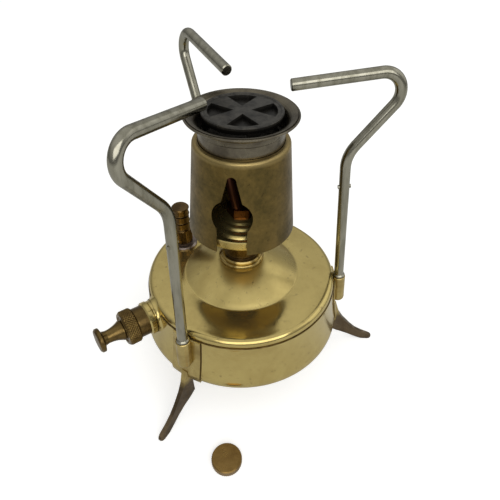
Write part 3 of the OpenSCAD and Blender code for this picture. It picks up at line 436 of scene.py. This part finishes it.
def bowl():
    """A lip at the seam, the flaring wall, the rounded foot and the dished floor."""
    foot = wall_r(FLARE_FOOT)
    levels = [SEAM - 0.8 - i for i in range(26)]
    outline = [(55.5, SEAM - 0.1), (WALL_TOP - 0.35, SEAM)]
    outline += [(WALL_TOP - 0.05, SEAM - 0.12), (WALL_TOP + 0.06, SEAM - 0.45)]
    outline += [(wall_r(z), z) for z in levels + [FLARE_FOOT]]
    outline += arc(foot - FOOT_ROUND, FLOOR_GAP + FOOT_ROUND, FOOT_ROUND, 0, -90, 12)
    outline += [(foot - 8, FLOOR_GAP), (foot - 11, FLOOR_GAP + DISH), (0.01, FLOOR_GAP + DISH)]
    return lathe(fine(outline, 2), TANK_SEGMENTS, wobble(0.05, 22, 9))


def seam():
    """A thread of solder between the two pressings, coloured dark as painted shade in the step under the rim.
    """
    seam_r, thread = 57.66, 0.3
    return lathe(arc(seam_r, SEAM - 0.02, thread, -180, 180, 10), 240)


def plate_line(azimuth):
    """A line of solder down the wall, beside a bracket's plate, dark as painted shade of the gap along the
    plate's edge.
    """
    a = math.radians(azimuth)
    line = []
    for z in (SEAM - 0.4 - j * 1.26 for j in range(24)):
        r = wall_r(z) + 0.12
        line.append((r * math.cos(a), r * math.sin(a), z))
    return tube(line, 0.32)


BRACKETS = {"left": -122.1, "right": -2.9, "back": 118.8}
PLATE_HALF_ANGLE = 9.1

piece("lid_sheet", lid(), "root", "polished_brass", ["tank_lid"])
piece("bowl_sheet", bowl(), "root", "polished_brass", ["tank_base"])
# the seam's solder thread, dark as painted shade in the step under the rim
piece("seam_solder_shade", seam(), "root", "aged_brass", material=SOLDER_SHADE)
# dark solder lines at each plate's two edges: painted shade of the gaps there
for side, azimuth in BRACKETS.items():
    for k, turn in enumerate((-PLATE_HALF_ANGLE, PLATE_HALF_ANGLE)):
        piece(f"plate_solder_shade_{side}_{k}", plate_line(azimuth + turn), "root", "aged_brass", material=SOLDER_SHADE)


# ---------- burner: the block's stepped round base, which rises from the cup ----------

BASE_STEPS = [
    (18.6, 104.35), (18.3, 104.7), (17.4, 105.5), (16.7, 105.9), (15.9, 106.0),
    (14.6, 106.1), (14.1, 106.5), (13.0, 107.5), (12.4, 107.8), (11.4, 107.9),
    (10.9, 108.2), (10.2, 108.9), (9.6, 109.2), (9.0, 109.3), (8.5, 109.6), (8.1, 109.7), (7.0, 109.75),
]
piece("block_base", lathe(fine(BASE_STEPS, 0.5), 128), "burner", "polished_brass")


# ---------- pump: solder fillet, knurled cap and the valve's spring ----------

PUMP_AZIMUTH, PUMP_TILT = -145.2, 2.4
PUMP_SIDE, PUMP_HEIGHT = -7.4, TANK_TOP - 14.2
COLLAR_R, FILLET_OUT, FILLET_UP = 9.95, 1.5, 1.9


def pump_frame(unit):
    """From the pump's frame, z along its axis, to the row frame; unit is the length of a millimetre."""
    turn = Matrix.Rotation(math.radians(PUMP_AZIMUTH), 4, "Z")
    place = Matrix.Translation((0, PUMP_SIDE * unit, PUMP_HEIGHT * unit))
    return turn @ place @ Matrix.Rotation(math.radians(90 - PUMP_TILT), 4, "Y")


PUMP, PUMP_MM = pump_frame(MM), pump_frame(1)


def in_tank(p):
    r = math.hypot(p.x, p.y)
    if p.z <= SEAM:
        return r < wall_r(p.z)
    if p.z > TANK_TOP:
        return False
    above = max(0.0, p.z - (TANK_TOP - RIM_ROUND))
    return r < RIM - RIM_ROUND + math.sqrt(max(0.0, RIM_ROUND ** 2 - above * above))


def tank_depth(rho, phi):
    """How far along the pump's axis a line beside it leaves the tank, found by halving."""
    inside, outside = 20.0, 75.0
    for _ in range(30):
        middle = (inside + outside) / 2
        if in_tank(PUMP_MM @ Vector((rho * math.cos(phi), rho * math.sin(phi), middle))):
            inside = middle
        else:
            outside = middle
    return inside


def collar_fillet(segs=144, steps=8):
    """Solder round the collar: a hollow curve from the collar down to the tank's wall and rim."""
    embed, undercut, root_depth = 0.05, 0.3, 1.2
    rings = []
    for phi in (2 * math.pi * i / segs for i in range(segs)):
        corner = Vector((COLLAR_R, tank_depth(COLLAR_R, phi)))
        top = Vector((COLLAR_R, tank_depth(COLLAR_R, phi) + FILLET_UP))
        edge = Vector((COLLAR_R + FILLET_OUT, tank_depth(COLLAR_R + FILLET_OUT, phi) - embed))
        ring = []
        for t in (k / steps for k in range(steps + 1)):
            ring.append(top * (1 - t) ** 2 + corner * 2 * t * (1 - t) + edge * t * t)
        ring.append(Vector((COLLAR_R - undercut, corner.y - root_depth)))
        rings.append([(p.x * math.cos(phi), p.x * math.sin(phi), p.y) for p in ring])
    return sweep_rings(rings, closed=True)


def diamonds(count, pitch, depth, drum_from):
    """Crossed knurling: a raised diamond pattern on what lies outside the drum_from radius."""
    def zigzag(x):
        return abs(2 * (x - math.floor(x)) - 1)

    def bend(r, z, a):
        if r <= drum_from:
            return r, z
        u, w = a * count / (2 * math.pi), z / pitch
        return r + depth * (min(zigzag(u + w), zigzag(u - w)) - 1), z
    return bend


def knurled_cap():
    """The pump's cap, along the pump's axis: inner edge, knurled drum, sunk ring and middle of its face."""
    low, high, drum, knurls = 70.73, 78.13, 10.5, 38
    outline = [(9.1, low), (9.75, low), (drum, low + 0.75), (drum, high - 1.25), (9.3, high)]
    outline += [(7.9, high), (7.6, high - 0.5), (6.4, high - 0.5), (6.1, high - 0.02), (2.2, high - 0.02)]
    return lathe(fine(outline, 0.2), 14 * knurls, diamonds(knurls, 1.7, 0.6, 9.9))


def shortening_spring():
    """A copy of the valve's spring, with a mesh of its own, riding on the root; the imported spring is hidden.
    """
    spring = bpy.data.objects.new("spring_coil", frame["nodes"]["valve_spring"].data.copy())
    bpy.context.collection.objects.link(spring)
    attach(spring, "root")
    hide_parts("valve_spring")
    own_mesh(spring)


piece("collar_solder", collar_fillet(), "root", "polished_brass", matrix=PUMP)
piece("cap_knurl", knurled_cap(), "pump_nut", "aged_brass", ["pump_cap"], 50, PUMP)
shortening_spring()


# ---------- floor, light, camera ----------

FLOOR_COLOR, FLOOR_GLOW = (0.72, 0.72, 0.71, 1), 0.55
FLOOR_HALF, FLOOR_LEVEL = 4.0, -0.0002
SKY = ((0.0, 0.2), (0.3, 0.36), (0.6, 0.56), (0.85, 0.74))
STOVE_MIDDLE = (0, 0, 0.08)

PHOTO_PX, FOCAL_PX, SENSOR = 500, 446.1, 36
CAMERA_AT = (-1.96, -199.14, 260.98)
YAW, PITCH, ROLL = math.radians(2.03), math.radians(42.2), math.radians(0.94)


def floor_material():
    """Pale and matt; it glows for the camera only, so that it goes over into the white behind it."""
    t = material_tree("floor")
    diffuse = t.node("ShaderNodeBsdfDiffuse")
    diffuse.inputs[0].default_value = FLOOR_COLOR
    glow = t.node("ShaderNodeEmission")
    glow.inputs[0].default_value = WHITE
    t.link(t.times(t.camera_ray(), FLOOR_GLOW), glow.inputs[1])
    both = t.node("ShaderNodeAddShader")
    t.link(diffuse.outputs[0], both.inputs[0])
    t.link(glow.outputs[0], both.inputs[1])
    t.link(both.outputs[0], t.out.inputs[0])
    return t.owner


def lay_floor():
    corners = ((-1, -1), (1, -1), (1, 1), (-1, 1))
    me = bpy.data.meshes.new("floor")
    me.from_pydata([(x * FLOOR_HALF, y * FLOOR_HALF, FLOOR_LEVEL) for x, y in corners], [], [(0, 1, 2, 3)])
    floor = bpy.data.objects.new("floor", me)
    bpy.context.collection.objects.link(floor)
    me.materials.append(floor_material())


def studio_world():
    """Grey that brightens upwards for the metal to mirror, and plain white to the camera."""
    world = bpy.data.worlds.new("studio")
    bpy.context.scene.world = world
    t = Tree(world, "ShaderNodeOutputWorld")
    ramp = t.node("ShaderNodeValToRGB")
    t.link(t.xyz(t.generated)[2], ramp.inputs[0])
    stops = ramp.color_ramp.elements
    stops.remove(stops[-1])
    for level, grey in SKY:
        stop = stops[0] if level == 0.0 else stops.new(level)
        stop.color = (grey, grey, grey * 0.98, 1)
    sky = t.node("ShaderNodeBackground")
    t.link(ramp.outputs[0], sky.inputs[0])
    white = t.node("ShaderNodeBackground")
    white.inputs[0].default_value = WHITE
    both = t.node("ShaderNodeMixShader")
    t.link(t.camera_ray(), both.inputs[0])
    t.link(sky.outputs[0], both.inputs[1])
    t.link(white.outputs[0], both.inputs[2])
    t.link(both.outputs[0], t.out.inputs[0])


def area(name, loc, size, power):
    """A rectangular lamp that points at the stove."""
    lamp = bpy.data.lights.new(name, "AREA")
    lamp.shape = "RECTANGLE"
    lamp.size, lamp.size_y = size
    lamp.energy = power
    ob = bpy.data.objects.new(name, lamp)
    ob.location = loc
    ob.rotation_euler = (Vector(STOVE_MIDDLE) - Vector(loc)).to_track_quat("-Z", "Y").to_euler()
    bpy.context.collection.objects.link(ob)


def photo_camera():
    """The photograph's camera: it looks along +Y, turned by YAW, down by PITCH, and rolled a little."""
    forward = Vector((math.sin(YAW) * math.cos(PITCH), math.cos(YAW) * math.cos(PITCH), -math.sin(PITCH)))
    level = Vector((math.cos(YAW), -math.sin(YAW), 0))
    upright = level.cross(forward)
    right = level * math.cos(ROLL) + upright * math.sin(ROLL)
    up = -level * math.sin(ROLL) + upright * math.cos(ROLL)
    data = bpy.data.cameras.new("camera")
    data.sensor_width = SENSOR
    data.lens = FOCAL_PX / PHOTO_PX * SENSOR
    data.clip_start = 0.01
    camera = bpy.data.objects.new("camera", data)
    turn = Matrix((right, up, -forward)).transposed().to_4x4()
    camera.matrix_world = Matrix.Translation(Vector(CAMERA_AT) * MM) @ turn
    bpy.context.collection.objects.link(camera)
    bpy.context.scene.camera = camera


lay_floor()
studio_world()
area("key", (0.22, -0.97, 0.8), (1.5, 0.8), 7)
area("side", (1.1, 0.2, 0.7), (1.2, 1.0), 1.8)
photo_camera()
bpy.context.scene.view_settings.view_transform = "Standard"
